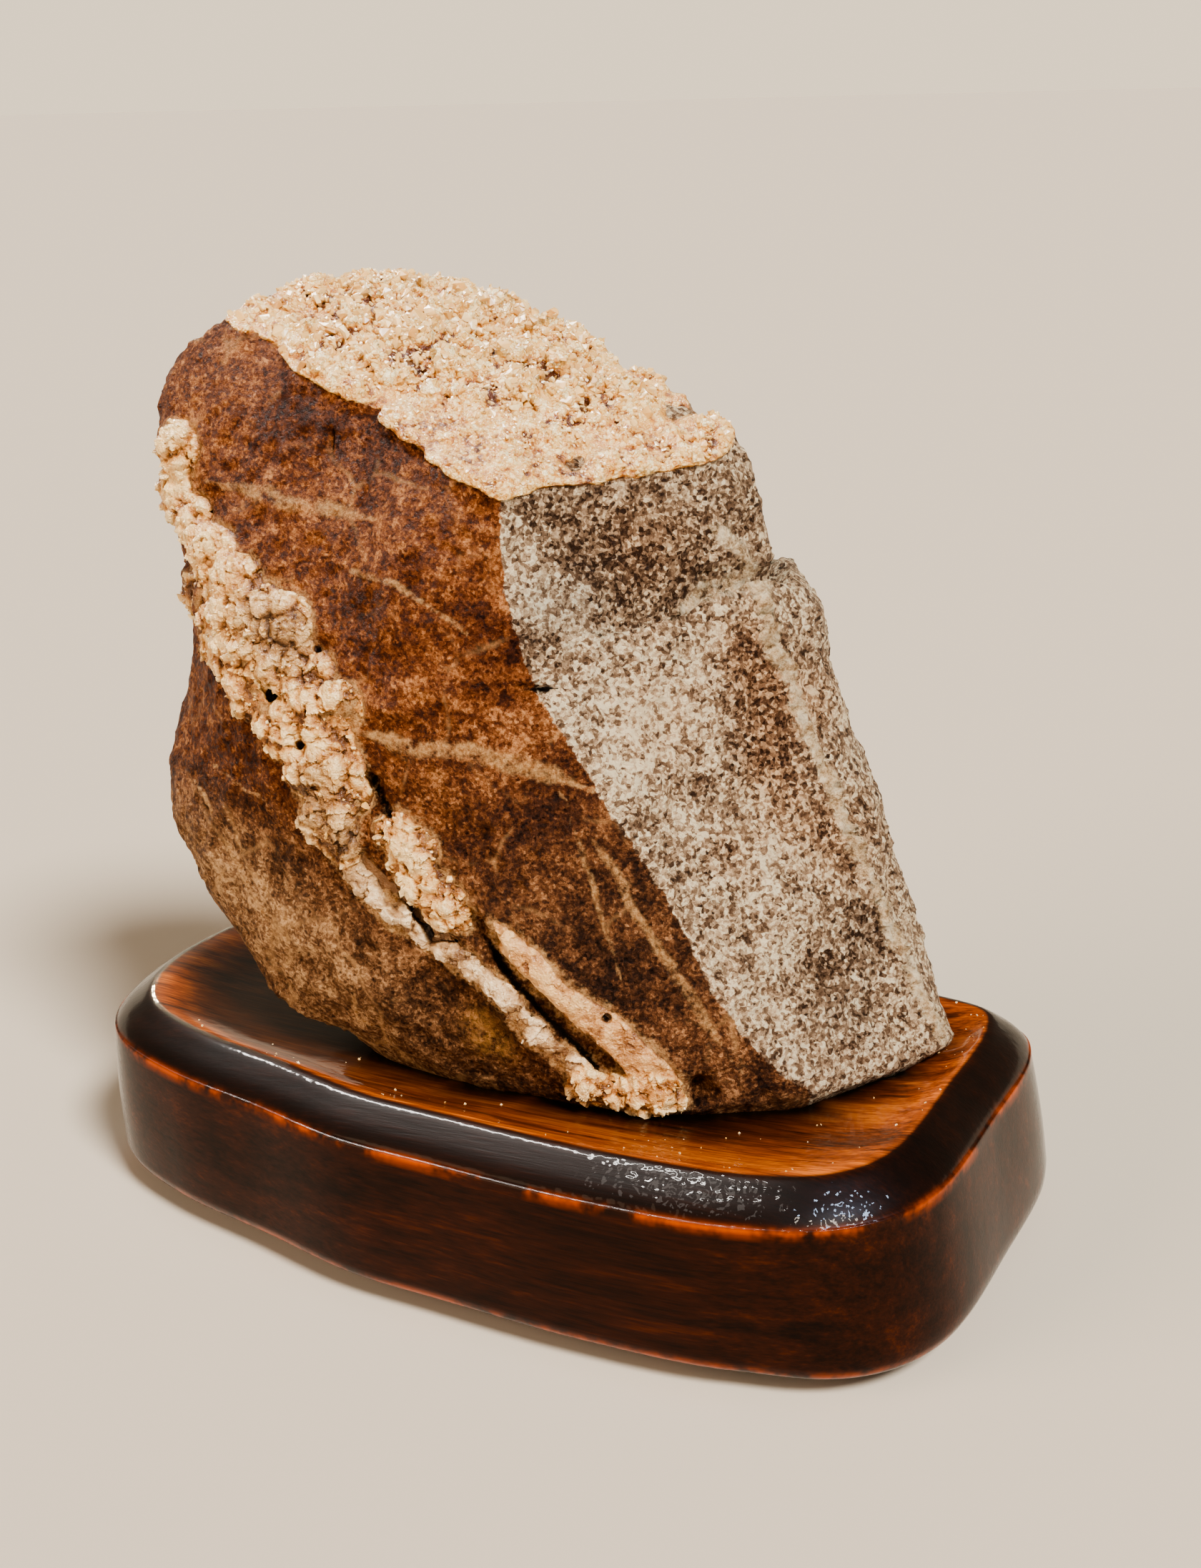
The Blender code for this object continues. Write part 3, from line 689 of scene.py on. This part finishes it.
def rock_paint():
    """Rusty brown on one side and speckled grey on the other, with pale veins, one of them partly a painted
    highlight along the ledge, near-black painted shade in clefts and pits, and painted shade on the upper
    grey facet.
    """
    paint = Paint("Rock")
    loose = paint.warped(1.2, 0.5)
    grain = paint.noise(0.7, 3.0, 0.7)
    rough = paint.noise(2.2, 6.0, 0.82)
    clump = paint.noise(5.0, 3.0, 0.62, 0.4)
    patch = paint.noise(15.0, 3.0, 0.55)
    fleck = paint.flecks(0.95, loose)
    speck = paint.flecks(0.55, loose)
    # The tone mark holds lighter and darker spots, and the painted shade of the upper grey facet.
    tone = paint.mask("tone")
    ragged = paint.total((paint.noise(0.8, 2.0, 0.6), 2.4), (paint.noise(2.6, 2.0, 0.6), 2.0), less=2.2)

    def torn(name, share):
        """A mark with this much raggedness along its edge."""
        return paint.total((paint.mask(name), 1.0), (ragged, share))

    value = paint.total(
        (rough, 0.90), (grain, 0.48), (speck, 0.20), (clump, 0.48), (patch, 0.28), (tone, 0.32), less=0.85,
    )
    rust = paint.colours(
        value, (0.24, (40, 17, 7)), (0.38, (84, 42, 19)), (0.48, (117, 66, 35)), (0.58, (156, 98, 58)),
        (0.74, (218, 162, 114)),
    )
    chocolate = paint.colours(
        value, (0.24, (28, 17, 11)), (0.38, (64, 40, 26)), (0.48, (93, 60, 39)), (0.60, (136, 94, 64)),
        (0.76, (206, 160, 120)),
    )
    beige = paint.colours(
        value, (0.24, (54, 36, 24)), (0.38, (100, 69, 47)), (0.50, (144, 106, 75)), (0.70, (220, 182, 140)),
    )
    brown = paint.mix(paint.mask("rust"), chocolate, rust)
    brown = paint.mix(paint.mask("beige"), brown, beige)
    lattice = paint.total((paint.web(17.0, paint.warped(9.0, 5.0)), 1.0), (grain, 0.05))
    seen = paint.span(paint.total((patch, 0.7), (paint.mask("beige"), 0.2), (clump, 0.5)), 0.58, 0.78)
    lattice = paint.times(paint.fall(lattice, 0.025, 0.065), seen)
    brown = paint.mix(paint.times(lattice, 0.4), brown, (216, 174, 126))

    value = paint.total(
        (fleck, 0.36), (speck, 0.34), (grain, 0.30), (rough, 0.46), (clump, 0.38), (patch, 0.22),
        (tone, 0.34), less=0.715,
    )
    grey = paint.colours(
        value, (0.14, (60, 44, 35)), (0.28, (110, 87, 70)), (0.42, (158, 134, 113)),
        (0.56, (218, 195, 168)), (0.70, (255, 246, 222)),
    )
    grey = paint.mix(paint.mask("warm"), grey, (242, 222, 208), "MULTIPLY")
    grey = paint.mix(paint.mask("cool"), grey, (234, 238, 244), "MULTIPLY")
    colour = paint.mix(paint.span(torn("side", 1.0), -0.35, 0.35), brown, grey)

    pale = paint.colours(grain, (0.35, (176, 126, 80)), (0.6, (230, 192, 144)))
    pale_grey = paint.colours(
        rough, (0.38, (160, 130, 98)), (0.48, (232, 208, 174)), (0.58, (255, 246, 224)),
    )
    pale = paint.mix(paint.span(paint.mask("side"), -0.5, 0.5), pale, pale_grey)
    share = paint.fall(torn("pale", 0.55), 0.5, 1.5)
    breaks = paint.span(paint.total((paint.noise(4.0, 3.0, 0.65), 0.5), (rough, 0.5)), 0.38, 0.55)
    share = paint.times(share, breaks)
    colour = paint.mix(paint.times(share, 0.76), colour, pale)
    seam = paint.fall(torn("seam", 1.2), -0.6, 0.6)
    colour = paint.mix(paint.times(seam, 0.85), colour, pale_grey)
    chalky = paint.span(torn("veins", 1.3), -1.0, 0.6)
    colour = paint.mix(paint.times(chalky, 0.8), colour, pale)
    ochre = paint.times(paint.mask("ochre"), paint.span(rough, 0.35, 0.65))
    colour = paint.mix(paint.times(ochre, 0.55), colour, (206, 156, 92))

    # Near-black painted shade in the clefts, cracks and pits.
    near = paint.fall(torn("dark", 0.4), 0.4, 1.1)
    colour = paint.mix(near, colour, (20, 11, 6))
    foot = paint.span(torn("crust", 1.0), -0.2, 0.4)
    colour = paint.mix(foot, colour, (150, 110, 74))

    height = paint.total((rough, 0.9), (fleck, 0.15), (clump, 0.3), (paint.noise(0.45, 2.0, 0.6), 0.3))
    return paint.finish({
        "Base Color": colour,
        "Specular IOR Level": 0.1,
        "Roughness": paint.total((grain, 0.4), (tone, 0.3), (speck, 0.3)),
        "Normal": paint.bump(height, 1.8),
    })


def crust_paint():
    """Sugary cream crystals, peach and brown in the hollows between them, partly their colour and partly
    painted shade, with painted shadow along the joins between grains.
    """
    paint = Paint("Crystal crust")
    fine = paint.noise(1.3, 2.0, 0.6)
    broad = paint.noise(9.0, 4.0, 0.65)
    # Lower parts of the crust are darker, peach to brown: partly its colour, partly painted shade in the
    # hollows.
    value = paint.total((paint.mask("height"), 0.34), (fine, 0.85), (broad, 0.8), less=0.33)
    colour = paint.colours(
        value, (0.28, (112, 68, 34)), (0.39, (188, 136, 76)), (0.48, (230, 190, 126)),
        (0.58, (250, 222, 166)), (0.74, (255, 246, 208)),
    )
    loose = paint.warped(1.0, 0.6)
    # Painted shadow along the thin joins between the sugary grains.
    shadow_gaps = paint.fall(paint.web(1.0, loose), 0.0, 0.10)
    colour = paint.mix(shadow_gaps, colour, (228, 194, 144), "MULTIPLY")
    grains = paint.fall(paint.flecks(1.0, loose), 0.10, 0.70)
    colour = paint.mix(grains, colour, (236, 210, 164), "MULTIPLY")
    return crystal_finish(paint, colour, fine)


def vein_paint():
    """Cream-yellow lumps, a pinker smooth plate and duller tan parts, with painted shade in their crevices
    and clefts.
    """
    paint = Paint("Crystal veins")
    fine = paint.noise(1.3, 2.0, 0.6)
    broad = paint.noise(5.0, 3.0, 0.6)
    # Lower parts of the veins are darker: painted shade in the crevices between lumps.
    value = paint.total((paint.mask("height"), 0.26), (fine, 0.4), (broad, 0.6), less=0.05)
    cream = paint.colours(
        value, (0.28, (104, 64, 32)), (0.40, (178, 124, 72)), (0.50, (222, 176, 118)),
        (0.68, (252, 228, 180)),
    )
    pink = paint.colours(value, (0.26, (134, 88, 54)), (0.40, (204, 156, 106)), (0.58, (240, 204, 154)))
    dull = paint.colours(value, (0.32, (84, 58, 36)), (0.50, (146, 110, 74)), (0.70, (210, 176, 132)))
    pale_streak = paint.colours(value, (0.30, (128, 94, 64)), (0.46, (200, 168, 130)), (0.64, (246, 228, 198)))
    colour = paint.mix(paint.span(paint.mask("slab"), -0.4, 0.4), pale_streak, pink)
    colour = paint.mix(paint.span(paint.mask("lumps"), -0.4, 0.4), colour, cream)
    colour = paint.mix(paint.mask("dull"), colour, dull)
    # Near-black painted shade where the clefts and cracks cross the veins.
    colour = paint.mix(paint.fall(paint.mask("dark"), 0.4, 1.2), colour, (26, 15, 9))
    return crystal_finish(paint, colour, fine)


def crystal_finish(paint, colour, fine):
    """Gives a crystal paint its colour, its soft depth and its fine sugary relief."""
    height = paint.total((fine, 0.5), (paint.flecks(0.8), 0.4), (paint.noise(0.4, 2.0, 0.6), 0.4))
    return paint.finish({
        "Base Color": colour,
        "Roughness": 0.32,
        "Subsurface Weight": 0.05,
        "Subsurface Radius": LIGHT_REACH,
        "Subsurface Scale": 1.2 * MM,
        "Normal": paint.bump(height, 1.1),
    })


def crystal_shapes(chance):
    """A few irregular crystals with flat faces, each with a radius of about 1."""
    shapes = []
    for _ in range(CRYSTAL_SHAPES):
        corners = chance.normal(size=(CRYSTAL_CORNERS, 3))
        corners /= np.linalg.norm(corners, axis=1)[:, None]
        corners *= chance.uniform(0.8, 1.0, (CRYSTAL_CORNERS, 1)) * chance.uniform(0.7, 1.2, 3)
        shape = bmesh.new()
        for corner in corners:
            shape.verts.new(corner)
        hull = bmesh.ops.convex_hull(shape, input=shape.verts)
        bmesh.ops.delete(shape, geom=list(set(hull["geom_interior"])), context="VERTS")
        shape.verts.index_update()
        points = np.array([vert.co for vert in shape.verts])
        faces = np.array([[vert.index for vert in face.verts] for face in shape.faces])
        shape.free()
        shapes.append((points, faces))
    return shapes


def scattered(name, places, normals, radii, shades, chance):
    """One mesh of crystals that stand at these places."""
    shapes = crystal_shapes(chance)
    points, faces, tints = [], [], []
    start = 0
    for place, normal, radius, shade in zip(places, normals, radii, shades):
        corners, sides = shapes[chance.integers(CRYSTAL_SHAPES)]
        turn = Euler(chance.uniform(0, 2 * math.pi, 3)).to_matrix()
        points.append(corners @ np.array(turn) * radius + place - normal * 0.1 * radius)
        faces.append(sides + start)
        tints.append(np.full(len(corners), shade))
        start += len(corners)
    mesh = bpy.data.meshes.new(name)
    mesh.from_pydata((np.vstack(points) * MM).tolist(), [], np.vstack(faces).tolist())
    mesh.update()
    add_marks(mesh, {"shade": np.concatenate(tints)})
    return linked(name, mesh)


def crystal_paint():
    """Cream crystals, each with its own shade."""
    paint = Paint("Cream crystals")
    value = paint.total((paint.mask("shade"), 0.7), (paint.noise(5.0, 2.0), 0.3))
    colour = paint.colours(
        value, (0.10, (176, 120, 64)), (0.32, (224, 180, 118)), (0.55, (246, 214, 162)),
        (0.9, (255, 242, 208)),
    )
    return paint.finish({
        "Base Color": colour,
        "Roughness": 0.3,
        "Subsurface Weight": 0.25,
        "Subsurface Radius": LIGHT_REACH,
        "Subsurface Scale": 1.5 * MM,
    })


def build_crystals(crust, veins):
    """Loose-looking crystals with flat faces over the crust and the vein lumps."""
    chance = np.random.default_rng(CRYSTAL_SEED)
    on_crust = chance.choice(np.flatnonzero(crust.mark("crust") > 0.6), CRUST_CRYSTALS, replace=False)
    on_veins = chance.choice(np.flatnonzero(veins.mark("lumps") > 0.4), VEIN_CRYSTALS, replace=False)
    points = np.vstack([crust.points[on_crust], veins.points[on_veins]])
    normals = np.vstack([crust.normals[on_crust], veins.normals[on_veins]])
    back = np.concatenate([crust.mark("back")[on_crust], np.full(VEIN_CRYSTALS, 0.3)])
    dull = np.concatenate([np.zeros(CRUST_CRYSTALS), veins.mark("dull")[on_veins]])
    radii = (0.28 + 0.36 * back) * np.clip(chance.lognormal(0.0, 0.4, len(points)), 0.5, 2.4)
    shades = np.clip(chance.normal(0.50, 0.16, len(points)) - 0.4 * dull, 0, 1)
    crystals = scattered("crystals", points, normals, radii, shades, chance)
    crystals.data.materials.append(crystal_paint())
    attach(crystals, "root")


def build_rock():
    rock = rock_mesh()
    surface = Surface(rock.data)
    made = marks(surface)
    add_marks(rock.data, made)
    in_veins = (made["veins"] > -VEIN_MARGIN) & (made["crust"] < CRUST_OVERLAP)
    crust = sheet_of(rock, made["crust"] > -CRUST_MARGIN, "crystal_crust", 1)
    veins = sheet_of(rock, in_veins, "crystal_veins", 2)
    surface.shift(rock_relief(surface, made))
    rock.data.shade_smooth()
    rock.data.materials.clear()
    rock.data.materials.append(rock_paint())
    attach(rock, "root")
    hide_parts("stone")
    crust_surface = finish_sheet(crust, crust_relief, crust_paint())
    vein_surface = finish_sheet(veins, vein_relief, vein_paint())
    build_crystals(crust_surface, vein_surface)


def curve_through(points, count):
    """Count points, evenly by index, on a Catmull-Rom curve through these points."""
    points = np.asarray(points, float)
    first = 2 * points[0] - points[1]
    last = 2 * points[-1] - points[-2]
    padded = np.vstack([first, points, last])
    place = np.linspace(0, len(points) - 1, count)
    index = np.minimum(place.astype(int), len(points) - 2)
    t = (place - index)[:, None]
    a, b, c, d = (padded[index + k] for k in range(4))
    return 0.5 * (
        2 * b
        + (c - a) * t
        + (2 * a - 5 * b + 4 * c - d) * t**2
        + (3 * b - a - 3 * c + d) * t**3
    )


def closed_curve(points, count):
    """Count points at even spacing on a smooth closed curve through these points."""
    points = np.asarray(points, float)
    wrapped = np.vstack([points[-3:], points, points[:4]])
    ends = 3 * FINE_STEPS
    fine = curve_through(wrapped, FINE_STEPS * (len(wrapped) - 1) + 1)[ends:-ends]
    steps = np.linalg.norm(np.diff(fine, axis=0), axis=1)
    along = np.concatenate([[0], np.cumsum(steps)])
    wanted = np.linspace(0, along[-1], count, endpoint=False)
    return np.stack([np.interp(wanted, along, fine[:, k]) for k in range(2)], axis=1)


def outward(ring):
    """Unit vectors pointing out of a closed ring that runs anticlockwise."""
    run = np.roll(ring, -1, axis=0) - np.roll(ring, 1, axis=0)
    normal = np.stack([run[:, 1], -run[:, 0]], axis=1)
    return normal / np.linalg.norm(normal, axis=1)[:, None]


def seat_ring(top, beside):
    """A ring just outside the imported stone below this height, point by point beside another ring."""
    stone = np.array([vert.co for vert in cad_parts["stone"].data.vertices]) / MM
    arm = stone[stone[:, 2] < top][:, :2] - SEAT_CENTRE
    turn = np.arctan2(arm[:, 1], arm[:, 0])
    bins = ((turn / (2 * math.pi)) % 1 * SEAT_BINS).astype(int)
    reach = np.zeros(SEAT_BINS)
    np.maximum.at(reach, bins, np.hypot(arm[:, 0], arm[:, 1]))
    middle = (np.arange(SEAT_BINS) + 0.5) / SEAT_BINS * 2 * math.pi
    filled = reach > 0
    way = beside[:, :2] - SEAT_CENTRE
    wanted = np.arctan2(way[:, 1], way[:, 0]) % (2 * math.pi)
    far = np.interp(wanted, middle[filled], reach[filled], period=2 * math.pi) + SEAT_GAP
    return SEAT_CENTRE + far[:, None] * np.stack([np.cos(wanted), np.sin(wanted)], axis=1)


def flat_ring(place, height):
    return np.column_stack([place, np.full(len(place), height)])


def stand_rings():
    """The stand's rings from under the foot to the floor of the seat, and the crest's place among them."""
    outline = closed_curve(STAND_OUTLINE, OUTLINE_POINTS)
    out = outward(outline)
    rings = [flat_ring(outline - inset * out, height) for inset, height in FOOT_PROFILE]
    for inset, height in curve_through(WALL_PROFILE, WALL_STEPS):
        low = np.clip((WALL_TOP - height) / (WALL_TOP - WALL_FOOT), 0, 1)
        flare = END_FLARE * low * ramp(outline[:, 0], FLARE_FROM, FLARE_TO)
        rings.append(flat_ring(outline + (flare - inset)[:, None] * out, height))
    crest = rings[-1]
    crest_level = len(rings) - 1
    edge = seat_ring(DISH_PROFILE[-1][1] + 0.2, crest)
    for share, height in curve_through(DISH_PROFILE, DISH_STEPS)[1:]:
        rings.append(flat_ring(crest[:, :2] + share * (edge - crest[:, :2]), height))
    rings.append(flat_ring(seat_ring(SEAT_FLOOR + 1.0, crest), SEAT_FLOOR))
    return rings, crest_level


def build_stand():
    rings, crest_level = stand_rings()
    count = OUTLINE_POINTS
    points = np.vstack(rings + [(0.0, 0.0, 0.0), SEAT_CENTRE + (SEAT_FLOOR,)])
    faces = []
    for level in range(len(rings) - 1):
        for k in range(count):
            after = (k + 1) % count
            low = level * count
            faces.append((low + k, low + after, low + count + after, low + count + k))
    last = (len(rings) - 1) * count
    for k in range(count):
        after = (k + 1) % count
        faces.append((after, k, len(points) - 2))
        faces.append((last + k, last + after, len(points) - 1))
    carved = CARVING_DEPTH * cloud(points, 24.0, 71)[:, None] * ramp(points[:, 2], 5.0, 8.0)[:, None]
    middle = np.column_stack([points[:, :2], np.zeros(len(points))])
    away = middle / np.maximum(np.linalg.norm(middle, axis=1), 1.0)[:, None]
    mesh = bpy.data.meshes.new("wooden_stand")
    mesh.from_pydata(((points + carved * away) * MM).tolist(), [], faces)
    mesh.update()
    levels = np.append(np.repeat(np.arange(len(rings)), count), (0, len(rings) - 1))
    height = points[:, 2]
    seat = np.clip((levels - crest_level) / DISH_STEPS, 0, 1)
    # Amber rises towards the right end and towards the crest. Its fall towards the seat is part of the
    # painted shadow of the stone.
    amber = 0.1 + 0.9 * ramp(points[:, 0], -60.0, 30.0) + 0.7 * ramp(-seat, -0.4, -0.1)
    # The edge mark holds painted orange highlight lines along the top of the wall and near its foot.
    top_highlight = np.exp(-((height - TOP_HIGHLIGHT) / 0.6) ** 2) * (levels <= crest_level)
    foot_highlight = np.exp(-(height - LOW_HIGHLIGHT) ** 2)
    add_marks(mesh, {
        "dish": ramp(levels - crest_level, -2.0, 2.0),
        "seat": seat,
        # The shoulder mark places a painted dark reflection on the sloping band below the crest.
        "shoulder": ramp(height, 31.4, 32.6) * ramp(crest_level - levels, 1.0, 8.0),
        "amber": np.clip(amber, 0, 1),
        "edge": top_highlight + 0.7 * foot_highlight,
        "peel": ramp(points[:, 0], 22.0, 48.0) * ramp(-points[:, 1], 10.0, 40.0) * ramp(height, 30.0, 32.0),
    })
    mesh.shade_smooth()
    mesh.set_sharp_from_angle(angle=WOOD_SHARP_ANGLE)
    stand = linked("wooden_stand", mesh)
    mesh.materials.append(wood_paint())
    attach(stand, "root")
    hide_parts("stand")
    build_crumbs(Surface(mesh))


def build_crumbs(surface):
    """Grains of rock that lie in the dish, at the front and at the right end."""
    chance = np.random.default_rng(CRUMB_SEED)
    seat = surface.mark("seat")
    x, y = surface.points[:, 0], surface.points[:, 1]
    near = (y < -18) | (x > 62)
    dish = np.flatnonzero((seat > 0.08) & (seat < 0.8) & near & (surface.normals[:, 2] > 0.7))
    crowded = np.exp(3.5 * cloud(surface.points[dish], 9.0, 12))
    pick = chance.choice(dish, CRUMBS, replace=False, p=crowded / crowded.sum())
    radii = np.clip(chance.lognormal(-1.5, 0.4, CRUMBS), 0.12, 0.6)
    shades = chance.uniform(0.1, 0.8, CRUMBS)
    crumbs = scattered("crumbs", surface.points[pick], surface.normals[pick], radii, shades, chance)
    crumbs.data.materials.append(crystal_paint())
    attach(crumbs, "root")


def wood_paint():
    """Dark wood under thick varnish, amber in the dish, with painted orange highlight lines along its
    edges, a painted dark reflection on the shoulder and painted shadow of the stone round the seat.
    """
    paint = Paint("Dark varnished wood")
    lengthwise = paint.stretched(0.09, 1.0, 1.0)
    figure = paint.noise(10.0, 4.0, 0.6, 1.0, lengthwise)
    streak = paint.noise(2.4, 3.0, 0.65, 0.6, lengthwise)
    pore = paint.noise(0.55, 2.0, 0.7, 0.0, paint.stretched(0.05, 1.0, 1.0))
    value = paint.total((figure, 0.42), (streak, 0.34), (pore, 0.28))
    wall = paint.colours(
        value, (0.36, (12, 5, 2)), (0.46, (30, 12, 4)), (0.56, (46, 19, 7)), (0.68, (76, 34, 12)),
    )
    amber = paint.colours(
        value, (0.36, (44, 19, 9)), (0.45, (110, 52, 22)), (0.54, (176, 90, 38)), (0.64, (232, 138, 64)),
    )
    dish = paint.mix(paint.mask("amber"), wall, amber)
    # Painted shadow of the stone: the dish darkens to near-black towards the seat.
    dish = paint.mix(paint.span(paint.mask("seat"), 0.2, 0.9), dish, (12, 6, 3))
    colour = paint.mix(paint.mask("dish"), wall, dish)
    # Painted dark reflection on the shoulder below the crest.
    colour = paint.mix(paint.times(paint.mask("shoulder"), 0.75), colour, (16, 9, 6))
    # Painted orange highlight along the edge lines, broken here and there.
    broken = paint.span(paint.noise(14.0, 4.0, 0.7), 0.42, 0.62)
    pale_streak = paint.times(paint.mask("edge"), broken)
    colour = paint.mix(paint.times(pale_streak, 0.8), colour, (190, 84, 22))
    ripple = paint.times(paint.noise(1.7, 1.0), paint.maths("ADD", paint.mask("peel"), 0.1))
    return paint.finish({
        "Base Color": colour,
        "Roughness": 0.4,
        "Specular IOR Level": 0.06,
        "Coat Weight": 1.0,
        "Coat Roughness": 0.07,
        "Coat IOR": 1.16,
        "Coat Normal": paint.bump(ripple, 0.4),
        "Normal": paint.bump(value, 0.08),
    })


def build_floor():
    half = FLOOR_SIZE * MM / 2
    corners = [(-half, -half, 0), (half, -half, 0), (half, half, 0), (-half, half, 0)]
    mesh = bpy.data.meshes.new("floor")
    mesh.from_pydata(corners, [], [(0, 1, 2, 3)])
    floor = linked("floor", mesh)
    look = {"Base Color": srgb(FLOOR_COLOUR), "Roughness": 0.8, "Specular IOR Level": 0.0}
    mesh.materials.append(Paint("Pale floor").finish(look))


def build_sky():
    """Light as even as the floor at the horizon, and dimmer above."""
    world = bpy.data.worlds.new("Soft room")
    world.use_nodes = True
    tree = world.node_tree
    way = tree.nodes.new("ShaderNodeTexCoord")
    part = tree.nodes.new("ShaderNodeSeparateXYZ")
    rise = tree.nodes.new("ShaderNodeMapRange")
    background = tree.nodes["Background"]
    rise.interpolation_type = "SMOOTHSTEP"
    rise.inputs["From Min"].default_value = SKY_CLEAR_RISE
    rise.inputs["From Max"].default_value = SKY_FULL_RISE
    rise.inputs["To Min"].default_value = HORIZON_STRENGTH
    rise.inputs["To Max"].default_value = SKY_STRENGTH
    tree.links.new(way.outputs["Generated"], part.inputs["Vector"])
    tree.links.new(part.outputs["Z"], rise.inputs["Value"])
    tree.links.new(rise.outputs["Result"], background.inputs["Strength"])
    background.inputs["Color"].default_value = srgb(SKY_COLOUR)
    bpy.context.scene.world = world


def sun_light(name, turn, rise, strength, spread, colour):
    """Broad soft light from this turn and rise."""
    light = bpy.data.lights.new(name, "SUN")
    light.energy = strength
    light.angle = spread
    light.color = srgb(colour)[:3]
    lamp = linked(name, light)
    flat = math.cos(rise)
    away = Vector((math.cos(turn) * flat, math.sin(turn) * flat, math.sin(rise)))
    lamp.rotation_euler = (-away).to_track_quat("-Z", "Y").to_euler()


def area_light(name, place, aim, size, power, colour):
    """A box of light at this place, facing the aim; it shows in the varnish."""
    light = bpy.data.lights.new(name, "AREA")
    light.shape = "RECTANGLE"
    light.size, light.size_y = (side * MM for side in size)
    light.energy = power
    light.color = srgb(colour)[:3]
    lamp = linked(name, light)
    lamp.location = Vector(place) * MM
    lamp.rotation_euler = (Vector(aim) - Vector(place)).to_track_quat("-Z", "Y").to_euler()
    lamp.visible_camera = False
    lamp.visible_diffuse = False


def build_camera():
    data = bpy.data.cameras.new("Camera")
    data.lens = LENS
    data.clip_start = 10 * MM
    camera = linked("Camera", data)
    turn = Matrix.Rotation(CAMERA_TURN, 4, "Z")
    pitch = Matrix.Rotation(math.pi / 2 - CAMERA_PITCH, 4, "X")
    roll = Matrix.Rotation(-CAMERA_ROLL, 4, "Z")
    place = Matrix.Translation(Vector(CAMERA_PLACE) * MM)
    camera.matrix_world = place @ turn @ pitch @ roll
    bpy.context.scene.camera = camera


bpy.context.scene.view_settings.look = CONTRAST
build_camera()
build_sky()
build_floor()
for sun in SUNS:
    sun_light(*sun)
for box in SOFT_BOXES:
    area_light(*box)
build_rock()
build_stand()
